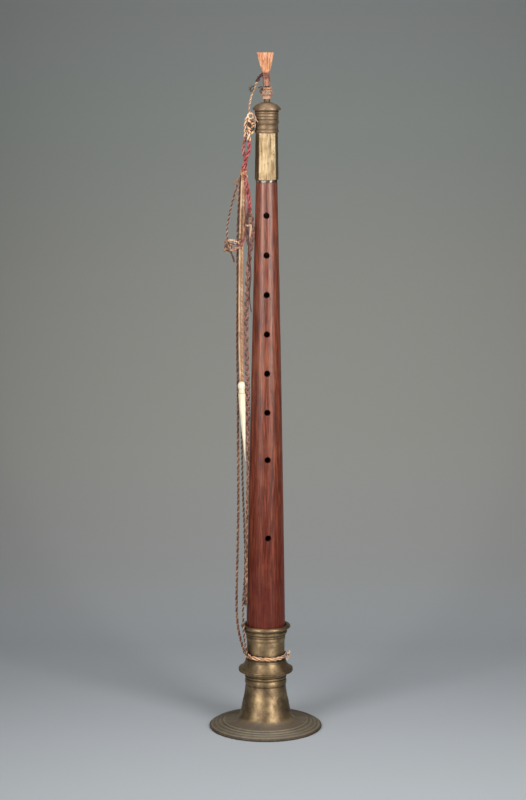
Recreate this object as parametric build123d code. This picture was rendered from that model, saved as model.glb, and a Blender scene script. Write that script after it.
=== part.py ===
from build123d import *
import math
import os

# Hne, a conical double-reed shawm. Millimetres, +Z up, finger holes towards -Y,
# the bell rim stands on z = 0 and the bore axis is the Z axis.

# ---------------------------------------------------------------- bell, cast and turned brass
bell_wall = 1.3
rim_radius = 42.9
rim_thickness = 1.6
rim_land = 1.8              # width of the flat ring that the bell stands on
disc_top_radius = 30.6      # inside the ridges the disc is nearly level
disc_top_height = 5.2
disc_ridge_radii = (39.9, 37.2, 34.4, 31.9)
disc_ridge_width = 1.7
disc_ridge_rise = 0.45
flare_foot_radius = 24.4    # where the level disc turns up into the flare
flare_foot_height = 5.8
flare_hip_radius = 19.7
flare_hip_height = 10.4
flare_waist_radius = 17.5
flare_waist_height = 20.6
flare_neck_radius = 15.4
flare_height = 33.2         # top of the smooth flare
girdle_radius = 15.5        # convex band above the flare
girdle_height = 4.0
girdle_crown = 0.45
girdle_groove = 0.9
cone_foot_radius = 15.4
cone_ring_height = 1.9
cone_ring_crown = 0.5
bead_radius = 20.5          # double cone, the two halves of the bell meet at its middle
bead_height = 45.2
bead_lip = 1.1
bead_lip_step = 0.7         # the thin lip stands out this far from the two cones
bead_hollow = 0.5           # how far the upper cone dips inwards
bead_top_height = 52.2
collar_radius = 14.4
collar_step = 0.9
collar_ring_base = 68.6     # where the turned rings below the mouth begin
collar_ring_heights = (3.2, 2.0, 2.6)
collar_ring_radii = (14.5, 14.8, 15.9)
collar_ring_crown = 0.45
mouth_radius = 18.7
mouth_lip = 1.1
bell_height = 80.2

# ---------------------------------------------------------------- pipe, one piece of turned hardwood
tenon_radius = 12.9
tenon_end = 56.0
tenon_clearance = 0.08
seat_height = 72.4          # the cone seat in the collar begins here
seat_clearance = 0.3
pipe_foot_radius = 14.75
pipe_foot_height = 79.4
pipe_top_radius = 7.96
pipe_top_height = 416.7
pipe_swell = 0.4
pipe_edge = 0.4
neck_tenon_radius = 6.6
neck_tenon_length = 41.3
neck_clearance = 0.05
bore_foot_radius = 8.4
bore_throat_radius = 2.6
staple_socket_radius = 3.4
staple_socket_depth = 18.0
hole_diameter = 4.6
hole_edge = 0.35
first_hole_drop = 24.5      # the holes are set out from the top of the pipe
hole_pitch = 29.4
hole_count = 6
low_hole_drop = 207.4
vent_hole_drop = 267.1
thumb_hole_drop = 39.2
hole_turn_top = -0.8        # degrees off the front at the first hole
hole_turn_low = 7.4         # and at the vent hole

# ---------------------------------------------------------------- spacer, octagonal sleeve, cap
spacer_radius = 8.0
spacer_height = 1.8
sleeve_height = 34.3
sleeve_foot_radius = 8.81   # to the corners of the octagon
sleeve_top_radius = 8.26
sleeve_sides = 8
sleeve_turn = 3.5           # degrees that its front edge is turned off the finger holes
cap_bore_step = 0.9
cap_wall = 1.9
cap_rings = (               # height, radius, crown of each turned ring, from the bottom up
    (2.3, 8.5, 0.4),
    (3.3, 8.3, 0.25),
    (0.6, 8.25, 0.0),
    (3.6, 8.4, 0.6),
    (2.2, 8.4, 0.4),
    (2.2, 8.4, 0.4),
    (2.3, 8.45, 0.4),
)
cap_flange_radius = 10.0
cap_rim_radius = 10.4
cap_rim_rise = 1.5
cap_dome_radius = 5.0
cap_dome_rise = 3.8
cap_dome_crown = 0.5
cap_crown_rise = 0.45
cap_hole_clearance = 0.1

# ---------------------------------------------------------------- staple and its thread windings
staple_radius = 2.3
staple_tip_radius = 1.6
staple_wall = 0.45
staple_rise = 2.45          # its shoulder stands this far above the cap
staple_taper = 8.0
staple_reach = 18.1         # from the shoulder up to the tip, inside the reed
staple_below = 36.0         # from the shoulder down to its foot, inside the pipe
thread_fit = 0.05
lapping_length = 13.0
lapping_lift = 0.8
winding_rolls = ((2.8, 3.0, 0.35), (4.1, 3.5, 0.45))    # height, radius, crown
ring_thread = 1.5
ring_thread_radius = 2.85
ring_thread_gap = 0.1

# ---------------------------------------------------------------- reed of folded palm leaf
stock_radius = 2.75
stock_flare = 0.15
stock_height = 5.6
reed_fit = 0.05
binding_turns = 3
binding_turn = 1.8
binding_radius = 2.75
binding_crown = 0.3
leaf_foot_radius = 2.3
leaf_spread = 6.4           # half width of the fan at its tip
leaf_spread_mid = 4.45
leaf_spread_low = 3.1
leaf_height = 20.0
leaf_low_rise = 6.4
leaf_mid_rise = 11.6
leaf_tip_thickness = 1.15   # half the pair at the tip
leaf_low_thickness = 2.2
leaf_mid_thickness = 1.75
leaf_layer = 0.3
leaf_slit = 0.12

# ---------------------------------------------------------------- bone pin
pin_head_radius = 2.9
pin_head_height = 264.7
pin_neck_radius = 2.45
pin_ring_radius = 2.7
pin_shaft_radius = 3.05
pin_shaft_top = 6.2         # below the centre of the head
pin_shaft_swell = 0.35
pin_shoulder = 0.3          # height of each small step between shaft, ring and neck
pin_ring_height = 0.7
pin_neck_height = 1.4
pin_length = 58.1           # from the centre of the head to the tip
pin_tip_radius = 0.4
pin_x = -18.35
pin_y = -1.5
pin_tip_x = -15.3

# ---------------------------------------------------------------- cords
leader_diameter = 1.2
red_diameter = 2.3
rose_diameter = 1.4
pin_cord_diameter = 1.4
bell_cord_diameter = 1.4
braid_diameter = 2.0
loop_diameter = 1.2
side_diameter = 1.2
dark_diameter = 0.7
wrap_diameter = 2.2
wrap_turns = 2
wrap_base = 54.9

# ---------------------------------------------------------------- knots: places and half sizes
eye_place = (-12.3, -2.4, 465.0)
eye_radius = 2.1
eye_cord_radius = 0.8
plait_place = (-12.1, -2.6, 457.4)
plait_size = (3.2, 2.4, 5.6)
tie_place = (-17.2, -0.9, 423.5)
tie_size = (3.1, 2.3, 1.9)
tie_waist = 0.87            # its ends, as a share of its middle
red_knot_place = (-13.0, -1.5, 396.6)
red_knot_size = (1.7, 1.6, 2.0)
side_knot_place = (-27.4, -1.2, 368.0)
side_knot_size = (3.2, 1.9, 4.8)
tassel_place = (-15.2, -6.8, 98.0)
tassel_size = (1.4, 1.4, 2.6)
wrap_knot_place = (17.9, -3.4, 57.3)
wrap_knot_size = (1.3, 1.2, 1.6)


def outline(points):
    """Edges through (r, z) points; a third value bulges the edge that arrives there outwards."""
    edges = Curve()
    for start, end in zip(points, points[1:]):
        if len(end) > 2 and end[2]:
            edges += SagittaArc(start[:2], end[:2], -end[2])
        else:
            edges += Line(start[:2], end[:2])
    return edges


def turned(edges):
    """Turn a closed half section about the bore axis."""
    return revolve(Plane.XZ * make_face(edges), Axis.Z)


def stacked_rings(rings, base):
    """Points up a stack of turned rings, each (height, radius, crown)."""
    points = []
    level = base
    for height, radius, crown in rings:
        if not points or points[-1][0] != radius:
            points.append((radius, level))
        level += height
        points.append((radius, level, crown))
    return points


# ---------------------------------------------------------------- bell
def disc_level(radius):
    """Top of the ridged part of the disc at a radius, on a straight line up from the rim."""
    share = (rim_radius - radius) / (rim_radius - disc_top_radius)
    return rim_thickness + share * (disc_top_height - rim_thickness)


def bell_flare():
    crest = rim_radius - rim_thickness / 4
    disc = [(crest, 0), (crest, rim_thickness, rim_thickness / 3)]
    for radius in disc_ridge_radii:
        outer = radius + disc_ridge_width / 2
        inner = radius - disc_ridge_width / 2
        disc.append((outer, disc_level(outer)))
        disc.append((inner, disc_level(inner) + disc_ridge_rise / 2, disc_ridge_rise))
    foot = (flare_foot_radius, flare_foot_height)
    disc += [(disc_top_radius, disc_top_height), foot]
    hip = (flare_hip_radius, flare_hip_height)
    waist = (flare_waist_radius, flare_waist_height)
    neck = (flare_neck_radius, flare_height)
    sweep_in = (-1, 0.12)
    rise_up = (-0.1, 1)
    skin = Spline(foot, hip, waist, neck, tangents=(sweep_in, rise_up))

    girdle = flare_height + girdle_groove
    cone = bead_height - bead_lip
    ring = girdle + girdle_height + girdle_groove
    upper = [
        neck,
        (girdle_radius - girdle_groove / 2, flare_height + girdle_groove / 2),
        (girdle_radius, girdle),
        (girdle_radius, girdle + girdle_height, girdle_crown),
        (girdle_radius - girdle_groove / 2, girdle + girdle_height + girdle_groove / 2),
        (cone_foot_radius, ring),
        (cone_foot_radius, ring + cone_ring_height, cone_ring_crown),
        (bead_radius - bead_lip_step, cone),
        (bead_radius, cone),
        (bead_radius, bead_height, bead_lip / 4),
        (bead_radius - bell_wall - bead_lip_step, bead_height),
        (flare_neck_radius - bell_wall, ring),
        (flare_neck_radius - bell_wall, flare_height),
    ]
    inside_foot = (flare_foot_radius, flare_foot_height - bell_wall)
    inside_hip = (flare_hip_radius - bell_wall, flare_hip_height - bell_wall / 2)
    inside_waist = (flare_waist_radius - bell_wall, flare_waist_height)
    inside = Spline(inside_foot, inside_hip, inside_waist, upper[-1], tangents=(sweep_in, rise_up))
    land = outline([inside_foot, (crest - rim_land, 0), (crest, 0)])
    return turned(outline(disc) + skin + outline(upper) + inside + land)


def socket_radius():
    return tenon_radius + tenon_clearance


def bell_collar():
    rings = list(zip(collar_ring_heights, collar_ring_radii, [collar_ring_crown] * len(collar_ring_radii)))
    points = [
        (bead_radius - bell_wall - bead_lip_step, bead_height),
        (bead_radius, bead_height),
        (bead_radius, bead_height + bead_lip, bead_lip / 4),
        (bead_radius - bead_lip_step, bead_height + bead_lip),
        (collar_radius + collar_step, bead_top_height, -bead_hollow),
        (collar_radius + collar_step, bead_top_height + collar_step, 0.2),
        (collar_radius, bead_top_height + 2 * collar_step),
        (collar_radius, collar_ring_base),
    ]
    points += stacked_rings(rings, collar_ring_base)
    lip = bell_height - mouth_lip
    points += [
        (mouth_radius - mouth_lip / 2, lip - mouth_lip, -0.35),
        (mouth_radius, lip, 0.2),
        (mouth_radius - mouth_lip, bell_height, 0.3),
        (pipe_foot_radius + seat_clearance + mouth_lip / 2, bell_height),
        (pipe_foot_radius + seat_clearance, pipe_foot_height),
        (socket_radius() + seat_clearance / 2, seat_height),
        (socket_radius(), seat_height - seat_clearance),
        (socket_radius(), tenon_end - bell_wall),
        (bead_radius - bell_wall - bead_lip_step, bead_height),
    ]
    return turned(outline(points))


# ---------------------------------------------------------------- pipe
def neck_tenon_top():
    return pipe_top_height + neck_tenon_length


def pipe_radius(height):
    """Outside radius of the pipe between its foot and its top."""
    share = (height - pipe_foot_height) / (pipe_top_height - pipe_foot_height)
    straight = pipe_foot_radius + share * (pipe_top_radius - pipe_foot_radius)
    return straight + 4 * pipe_swell * share * (1 - share)


def finger_hole_drops():
    row = [first_hole_drop + hole_pitch * number for number in range(hole_count)]
    return row + [low_hole_drop, vent_hole_drop]


def hole_turn(drop):
    share = (drop - first_hole_drop) / (vent_hole_drop - first_hole_drop)
    return hole_turn_top + share * (hole_turn_low - hole_turn_top)


def drilled_hole(height, turn):
    """A hole from the outside into the bore, with its edge eased, turned off the front."""
    reach = pipe_foot_radius + 1
    surface = pipe_radius(height)
    drill = Cylinder(hole_diameter / 2, reach, align=(Align.CENTER, Align.CENTER, Align.MIN))
    ease = Pos(0, 0, surface - 2 * hole_edge) * Cone(
        hole_diameter / 2 - hole_edge, hole_diameter / 2 + 2 * hole_edge, 3 * hole_edge,
        align=(Align.CENTER, Align.CENTER, Align.MIN))
    return Rot(0, 0, turn) * (Pos(0, 0, height) * (Rot(90, 0, 0) * (drill + ease)))


def pipe_body():
    socket_floor = neck_tenon_top() - staple_socket_depth
    shoulder = seat_height + seat_clearance
    foot = (pipe_foot_radius, pipe_foot_height + seat_clearance)
    top = (pipe_top_radius, pipe_top_height - pipe_edge)
    length = pipe_top_height - pipe_foot_height
    swell = [(pipe_radius(height), height) for height in
             (pipe_foot_height + length * share for share in (0.25, 0.5, 0.75))]
    lower = [
        (bore_foot_radius, tenon_end),
        (tenon_radius - pipe_edge, tenon_end),
        (tenon_radius, tenon_end + pipe_edge),
        (tenon_radius, shoulder),
        foot,
    ]
    upper = [
        top,
        (pipe_top_radius - pipe_edge, pipe_top_height),
        (neck_tenon_radius, pipe_top_height),
        (neck_tenon_radius, neck_tenon_top() - pipe_edge),
        (neck_tenon_radius - pipe_edge, neck_tenon_top()),
        (staple_socket_radius, neck_tenon_top()),
        (staple_socket_radius, socket_floor),
        (bore_throat_radius, socket_floor),
        (bore_foot_radius, tenon_end),
    ]
    body = turned(outline(lower) + Spline(foot, *swell, top) + outline(upper))
    for drop in finger_hole_drops():
        body -= drilled_hole(pipe_top_height - drop, hole_turn(drop))
    body -= drilled_hole(pipe_top_height - thumb_hole_drop, 180)
    return body


def spacer_ring():
    ring = Cylinder(spacer_radius, spacer_height, align=(Align.CENTER, Align.CENTER, Align.MIN))
    ring -= Cylinder(neck_tenon_radius + neck_clearance, spacer_height,
                     align=(Align.CENTER, Align.CENTER, Align.MIN))
    return Pos(0, 0, pipe_top_height) * ring


def octagonal_sleeve():
    base = pipe_top_height + spacer_height
    foot = Pos(0, 0, base) * RegularPolygon(sleeve_foot_radius, sleeve_sides, rotation=sleeve_turn)
    top = Pos(0, 0, base + sleeve_height) * RegularPolygon(
        sleeve_top_radius, sleeve_sides, rotation=sleeve_turn)
    sleeve = loft([foot, top], ruled=True)
    bore = Cylinder(neck_tenon_radius + neck_clearance, sleeve_height,
                    align=(Align.CENTER, Align.CENTER, Align.MIN))
    return sleeve - Pos(0, 0, base) * bore


def cap_base():
    return pipe_top_height + spacer_height + sleeve_height


def cap_flange():
    return cap_base() + sum(ring[0] for ring in cap_rings)


def cap_dome():
    return cap_flange() + cap_rim_rise + cap_dome_rise


def brass_cap():
    base = cap_base()
    flange = cap_flange()
    rim = flange + cap_rim_rise
    dome = cap_dome()
    hole = staple_radius + cap_hole_clearance
    bore = neck_tenon_radius + neck_clearance
    points = [(bore, base)] + stacked_rings(cap_rings, base)
    points += [
        (cap_flange_radius, flange),
        (cap_rim_radius, rim, 0.2),
        (cap_dome_radius, dome, cap_dome_crown),
        (hole + cap_crown_rise, dome + cap_crown_rise, 0.15),
        (hole, dome + cap_crown_rise),
        (hole, dome - cap_wall),
        (cap_dome_radius, dome - cap_wall),
        (bore - cap_bore_step, rim - cap_wall),
        (bore - cap_bore_step, neck_tenon_top() + neck_clearance),
        (bore, neck_tenon_top() + neck_clearance),
        (bore, base),
    ]
    return turned(outline(points))


# ---------------------------------------------------------------- staple
def staple_shoulder():
    return cap_dome() + cap_crown_rise + staple_rise


def staple_outside(height):
    """Outside radius of the staple at a height."""
    share = (height - staple_shoulder()) / staple_taper
    share = min(max(share, 0), 1)
    return staple_radius + share * (staple_tip_radius - staple_radius)


def staple():
    shoulder = staple_shoulder()
    outside = [(staple_radius, shoulder - staple_below), (staple_radius, shoulder),
               (staple_tip_radius, shoulder + staple_taper),
               (staple_tip_radius, shoulder + staple_reach)]
    inside = [(radius - staple_wall, height) for radius, height in reversed(outside)]
    return turned(outline(outside + inside + outside[:1]))


def seat_lapping():
    foot = staple_shoulder() - staple_below + lapping_lift
    inside = staple_radius + thread_fit
    outside = staple_socket_radius - thread_fit
    edge = pipe_edge / 2
    points = [(inside, foot), (outside - edge, foot), (outside, foot + edge),
              (outside, foot + lapping_length - edge), (outside - edge, foot + lapping_length),
              (inside, foot + lapping_length), (inside, foot)]
    return turned(outline(points))


def winding_top():
    return staple_shoulder() + sum(roll[0] for roll in winding_rolls)


def staple_winding():
    points = [(staple_radius + thread_fit, staple_shoulder())]
    points += stacked_rings(winding_rolls, staple_shoulder())
    points += [(staple_outside(winding_top()) + thread_fit, winding_top()), points[0]]
    return turned(outline(points))


def ring_height():
    return winding_top() + ring_thread_gap + ring_thread / 2


def winding_ring():
    return Pos(0, 0, ring_height()) * Torus(ring_thread_radius, ring_thread / 2)


# ---------------------------------------------------------------- reed
def stock_base():
    return ring_height() + ring_thread / 2 + ring_thread_gap


def leaf_base():
    return stock_base() + stock_height


def reed_stock():
    inside = staple_tip_radius + reed_fit
    points = [(inside, stock_base()), (stock_radius, stock_base()),
              (stock_radius + stock_flare, leaf_base(), -0.1), (inside, leaf_base()),
              (inside, stock_base())]
    return turned(outline(points))


def reed_binding():
    turns = [(binding_turn, binding_radius, binding_crown)] * binding_turns
    inside = leaf_foot_radius + thread_fit
    points = [(inside, leaf_base())] + stacked_rings(turns, leaf_base())
    points += [(inside, leaf_base() + binding_turns * binding_turn), (inside, leaf_base())]
    return turned(outline(points))


def fan(inset):
    """The folded leaf fan as one lofted body, its skin moved inwards by the inset."""
    base = leaf_base()
    foot = leaf_foot_radius - inset
    straight = binding_turns * binding_turn
    sections = [
        Pos(0, 0, base) * Circle(foot),
        Pos(0, 0, base + straight) * Circle(foot),
        Pos(0, 0, base + leaf_low_rise) * Ellipse(leaf_spread_low - inset, leaf_low_thickness - inset),
        Pos(0, 0, base + leaf_mid_rise) * Ellipse(leaf_spread_mid - inset, leaf_mid_thickness - inset),
        Pos(0, 0, base + leaf_height) * Ellipse(leaf_spread - inset, leaf_tip_thickness - inset),
    ]
    return loft(sections[:2], ruled=True), loft(sections[1:])


def reed_leaf(layer, side):
    """One leaf: a layer of the fan, cut along the slit, on the front (-1) or back (+1) side."""
    outer_foot, outer_fan = fan(layer * (leaf_layer + thread_fit))
    inner_foot, inner_fan = fan(layer * (leaf_layer + thread_fit) + leaf_layer)
    half = Pos(0, side * leaf_slit / 2, leaf_base()) * Box(
        3 * leaf_spread, 3 * leaf_spread, 3 * leaf_height,
        align=(Align.CENTER, Align.MIN if side > 0 else Align.MAX, Align.CENTER))
    leaf = (outer_foot + outer_fan) - (inner_foot + inner_fan)
    return leaf & half


# ---------------------------------------------------------------- bone pin
def bone_pin():
    shaft = -pin_shaft_top
    ring = shaft + 2 * pin_shoulder
    neck = ring + pin_ring_height + pin_shoulder
    points = [
        (0, -pin_length),
        (pin_tip_radius, -pin_length + pin_tip_radius, pin_tip_radius / 3),
        (pin_shaft_radius, shaft, pin_shaft_swell),
        (pin_neck_radius, shaft + pin_shoulder),
        (pin_ring_radius, ring),
        (pin_ring_radius, ring + pin_ring_height, pin_shoulder / 3),
        (pin_neck_radius, neck),
        (pin_neck_radius, neck + pin_neck_height),
        (pin_head_radius, 0, pin_shoulder),
    ]
    dome = ThreePointArc((pin_head_radius, 0),
                         (pin_head_radius / math.sqrt(2), pin_head_radius / math.sqrt(2)),
                         (0, pin_head_radius))
    pin = turned(outline(points) + dome + Line((0, pin_head_radius), (0, -pin_length)))
    lean = math.degrees(math.atan((pin_tip_x - pin_x) / pin_length))
    return Pos(pin_x, pin_y, pin_head_height) * (Rot(0, -lean, 0) * pin)


# ---------------------------------------------------------------- cords
def corner_radii(points):
    """Each arc as large as its two runs allow."""
    radii = []
    for before, at, after in zip(points, points[1:], points[2:]):
        arriving = Vector(*at) - Vector(*before)
        leaving = Vector(*after) - Vector(*at)
        turn = math.radians(arriving.get_angle(leaving))
        shorter = min(arriving.length, leaving.length)
        radii.append(0.45 * shorter / math.tan(turn / 2))
    return radii


def cord_tube(name, points, diameter):
    """A plain round tube along straight runs joined by tangent arcs."""
    radii = corner_radii(points)
    path = FilletPolyline(*points, radius=radii)
    section = Plane(origin=path @ 0, z_dir=path % 0) * Circle(diameter / 2)
    tube = sweep(section, path=path)
    expected = math.pi * diameter ** 2 / 4 * path.length
    print(f"{name}: length {path.length:.1f}, smallest radius {min(radii):.1f}, "
          f"volume share {tube.volume / expected:.4f}")
    return tube


def oval_knot(place, half_sizes):
    return Pos(*place) * scale(Solid.make_sphere(1), half_sizes)


def eye_knot():
    """The round eye and the plaited knot below it, pulled into one lump."""
    eye = Pos(*eye_place) * (Rot(90, 0, 0) * Torus(eye_radius, eye_cord_radius))
    return eye + oval_knot(plait_place, plait_size)


def strand_tie():
    """Thread whipping that gathers every strand below the red pair."""
    half_width, half_depth, half_height = tie_size
    middle = Ellipse(half_width, half_depth)
    end = Ellipse(half_width * tie_waist, half_depth * tie_waist)
    sections = [Pos(0, 0, -half_height) * end, middle, Pos(0, 0, half_height) * end]
    return Pos(*tie_place) * loft(sections)


def neck_wrap():
    """The turns of cord round the collar, as the outer shape of the coil."""
    turns = [(wrap_diameter, collar_radius + neck_clearance + wrap_diameter * 0.55, wrap_diameter * 0.4)]
    inside = collar_radius + neck_clearance
    top = wrap_base + wrap_turns * wrap_diameter
    points = [(inside, wrap_base)] + stacked_rings(turns * wrap_turns, wrap_base)
    points += [(inside, top), (inside, wrap_base)]
    return turned(outline(points))


def cords():
    """Every cord of the tether, from the reed down to the bell, one tube each."""
    leader = [(-4.2, 0, 495.6), (-6.3, -0.4, 491.9), (-8.6, -0.8, 487.0), (-11.0, -1.3, 480.6),
              (-12.7, -1.9, 474.2), (-13.2, -2.4, 468.2)]
    rose_upper = [(-15.8, -1.5, 464.2), (-16.9, -1.2, 459.6), (-15.9, -1.0, 454.0),
                  (-16.9, -0.8, 448.2), (-18.1, -0.5, 441.6), (-17.0, -0.3, 435.2),
                  (-15.8, -0.3, 430.4), (-16.2, -0.5, 425.7)]
    rose_lower = [(-16.0, -2.5, 421.3), (-17.2, -3.4, 414.0), (-17.8, -3.6, 406.4),
                  (-18.2, -3.6, 397.0), (-16.5, -3.6, 388.4), (-15.6, -3.6, 380.0),
                  (-17.4, -3.7, 372.6), (-20.6, -3.7, 368.2), (-24.3, -2.5, 366.4)]
    red_upper = [(-13.9, -3.0, 450.6), (-12.2, -3.3, 445.4), (-12.6, -3.3, 439.4),
                 (-14.9, -3.1, 434.0), (-17.1, -2.8, 429.8), (-18.2, -1.9, 426.0)]
    red_lower = [(-14.6, -0.6, 421.1), (-15.0, -0.9, 416.4), (-14.2, -1.2, 411.0),
                 (-13.2, -1.4, 405.0), (-12.9, -1.5, 398.9)]
    pin_left = [(-18.9, -1.2, 421.3), (-19.8, -1.4, 411.0), (-20.1, -1.5, 390.0),
                (-19.9, -1.5, 360.0), (-20.1, -1.5, 320.0), (-19.9, -1.5, 288.0),
                (-19.2, -1.5, 267.7)]
    pin_right = [(-17.1, -1.0, 421.3), (-18.0, -1.4, 410.0), (-18.4, -1.5, 390.0),
                 (-18.1, -1.5, 362.0), (-18.4, -1.5, 322.0), (-18.1, -1.5, 290.0),
                 (-17.5, -1.5, 267.8)]
    bell_left = [(-19.2, 0.4, 421.3), (-20.6, 0.6, 404.0), (-21.7, 0.7, 372.0),
                 (-21.5, 1.0, 332.0), (-22.0, 1.6, 300.0), (-21.3, 2.6, 262.0),
                 (-21.3, 2.6, 222.0), (-20.9, 1.8, 184.0), (-21.3, 1.0, 144.0),
                 (-22.2, 0.4, 108.0), (-22.2, 0.0, 90.0), (-21.3, -0.4, 78.0),
                 (-19.4, -0.8, 68.6), (-16.1, -1.2, 60.0)]
    bell_right = [(-17.5, 0.9, 421.3), (-18.2, 0.8, 404.0), (-18.6, 0.9, 372.0),
                  (-18.2, 1.2, 332.0), (-18.5, 2.4, 294.0), (-18.2, 3.0, 258.0),
                  (-18.4, 2.4, 224.0), (-18.0, 1.2, 194.0), (-16.9, 0.4, 166.0),
                  (-15.8, -0.8, 141.0), (-15.6, -2.6, 121.0), (-16.9, -5.4, 106.0),
                  (-17.4, -8.6, 95.0), (-17.0, -10.4, 85.0), (-16.9, -10.8, 76.0),
                  (-15.9, -9.0, 67.4), (-14.2, -7.4, 60.0)]
    braid = [(-12.5, -1.6, 394.1), (-10.6, -2.9, 388.6), (-9.8, -4.0, 380.6),
             (-10.9, -3.2, 371.6), (-12.7, -2.0, 362.4), (-13.9, -1.5, 347.0),
             (-15.0, -1.5, 322.0), (-15.1, -2.1, 294.0), (-13.8, -2.9, 258.0),
             (-13.5, -3.6, 222.0), (-13.9, -4.0, 190.0), (-14.5, -4.8, 160.0),
             (-14.7, -5.8, 130.0), (-15.0, -6.7, 100.9)]
    loop = [(-14.3, -1.2, 395.0), (-14.9, -0.2, 389.4), (-15.0, 0.5, 381.4),
            (-14.5, 0.6, 373.2), (-13.2, 0.6, 365.0), (-12.4, 0.7, 357.6), (-12.6, 0.7, 350.6)]
    side = [(-21.1, -0.6, 416.2), (-22.6, -1.0, 410.8), (-25.0, -1.1, 403.4),
            (-27.3, -1.1, 394.2), (-28.6, -1.1, 383.6), (-28.4, -1.1, 373.1)]
    side_cross = [(-24.8, -2.4, 370.3), (-22.9, -3.5, 371.4), (-20.9, -3.9, 372.2), (-19.3, -4.3, 374.2)]
    dark = [(-14.1, -3.1, 393.6), (-13.7, -3.7, 385.0), (-13.4, -4.3, 377.0),
            (-13.5, -4.4, 367.0), (-12.5, -4.2, 357.0), (-11.2, -3.6, 347.6),
            (-12.5, -3.2, 338.2), (-12.7, -2.8, 328.4), (-11.2, -2.6, 320.0)]
    return {
        "leader_cord": ([leader], leader_diameter),
        "rose_cord": ([rose_upper, rose_lower], rose_diameter),
        "red_cord": ([red_upper, red_lower], red_diameter),
        "pin_cord_left": ([pin_left], pin_cord_diameter),
        "pin_cord_right": ([pin_right], pin_cord_diameter),
        "bell_cord_left": ([bell_left], bell_cord_diameter),
        "bell_cord_right": ([bell_right], bell_cord_diameter),
        "braid_cord": ([braid], braid_diameter),
        "loop_cord": ([loop], loop_diameter),
        "side_cord": ([side, side_cross], side_diameter),
        "dark_thread": ([dark], dark_diameter),
    }


def all_parts():
    parts = {
        "bell_flare": bell_flare(),
        "bell_collar": bell_collar(),
        "neck_wrap": neck_wrap(),
        "wrap_knot": oval_knot(wrap_knot_place, wrap_knot_size),
        "pipe_body": pipe_body(),
        "spacer_ring": spacer_ring(),
        "octagonal_sleeve": octagonal_sleeve(),
        "brass_cap": brass_cap(),
        "staple": staple(),
        "seat_lapping": seat_lapping(),
        "staple_winding": staple_winding(),
        "winding_ring": winding_ring(),
        "reed_stock": reed_stock(),
        "reed_binding": reed_binding(),
        "reed_leaf_front_outer": reed_leaf(0, -1),
        "reed_leaf_front_inner": reed_leaf(1, -1),
        "reed_leaf_back_inner": reed_leaf(1, 1),
        "reed_leaf_back_outer": reed_leaf(0, 1),
        "bone_pin": bone_pin(),
        "eye_knot": eye_knot(),
        "strand_tie": strand_tie(),
        "red_end_knot": oval_knot(red_knot_place, red_knot_size),
        "side_knot": oval_knot(side_knot_place, side_knot_size),
        "braid_tassel": oval_knot(tassel_place, tassel_size),
    }
    for name, (runs, diameter) in cords().items():
        parts[name] = Compound(children=[cord_tube(name, points, diameter) for points in runs])
    return parts


os.makedirs("parts", exist_ok=True)
for name, part in all_parts().items():
    export_step(part, f"parts/{name}.step")
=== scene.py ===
import bpy
import math
import random
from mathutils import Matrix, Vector, noise


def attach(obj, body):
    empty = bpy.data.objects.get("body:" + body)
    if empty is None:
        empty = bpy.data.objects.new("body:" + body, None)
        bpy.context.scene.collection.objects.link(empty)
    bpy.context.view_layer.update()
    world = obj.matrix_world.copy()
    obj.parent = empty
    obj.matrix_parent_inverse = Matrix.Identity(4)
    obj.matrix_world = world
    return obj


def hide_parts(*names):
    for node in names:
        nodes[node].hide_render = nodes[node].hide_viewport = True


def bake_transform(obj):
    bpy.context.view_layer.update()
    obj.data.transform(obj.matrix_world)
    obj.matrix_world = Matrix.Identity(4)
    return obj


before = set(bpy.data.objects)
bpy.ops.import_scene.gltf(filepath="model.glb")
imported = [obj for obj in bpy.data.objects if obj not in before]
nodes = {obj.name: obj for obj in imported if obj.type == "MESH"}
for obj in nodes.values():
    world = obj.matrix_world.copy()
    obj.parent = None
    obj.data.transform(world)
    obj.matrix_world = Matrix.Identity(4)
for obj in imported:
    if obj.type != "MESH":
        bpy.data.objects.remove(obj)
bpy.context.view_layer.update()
scene = bpy.context.scene
scene.view_settings.view_transform = "Standard"


def mm(point):  # millimetres to metres
    return Vector(point) / 1000


def srgb(code):  # a hex colour turned linear
    parts = [int(code[i:i + 2], 16) / 255 for i in (1, 3, 5)]
    line = [c / 12.92 if c <= 0.04045 else ((c + 0.055) / 1.055) ** 2.4 for c in parts]
    return (*line, 1)


# a long lens half a metre up, looking a little down; places in metres, angles in degrees
view = {"place": (-0.0029, -1.748, 0.530), "pitch": 9.0, "roll": -0.1, "lens": 106.02, "far": 30}
cameraData = bpy.data.cameras.new("camera")
cameraData.lens = view["lens"]
cameraData.clip_end = view["far"]
camera = bpy.data.objects.new("camera", cameraData)
camera.location = view["place"]
camera.rotation_euler = (math.radians(90 - view["pitch"]), math.radians(view["roll"]), 0)
scene.collection.objects.link(camera)
scene.camera = camera


# one shader node; its inputs take a socket or a constant, and stops are the (place, hex) of a ramp
def addNode(tree, kind, settings=None, links=None):
    node = tree.nodes.new("ShaderNode" + kind)
    for key, value in (settings or {}).items():
        if key != "stops":
            setattr(node, key, value)
            continue
        elements = node.color_ramp.elements
        while len(elements) < len(value):
            elements.new(0.5)
        for element, (place, code) in zip(elements, value):
            element.position = place
            element.color = srgb(code)
    for key, value in (links or {}).items():
        if isinstance(value, bpy.types.NodeSocket):
            tree.links.new(value, node.inputs[key])
        else:
            node.inputs[key].default_value = value
    return node


# a material with fixed values on its shader; its tree, shader and object coordinates come back with it
def newMaterial(name, values):
    material = bpy.data.materials.new(name)
    material.use_nodes = True
    tree = material.node_tree
    shader = tree.nodes["Principled BSDF"]
    for key, value in values.items():
        shader.inputs[key].default_value = value
    coords = addNode(tree, "TexCoord").outputs["Object"]
    return material, tree, shader, coords


def perMetre(size):  # texture scale for a feature of a size in millimetres
    return 1000 / size


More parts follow.
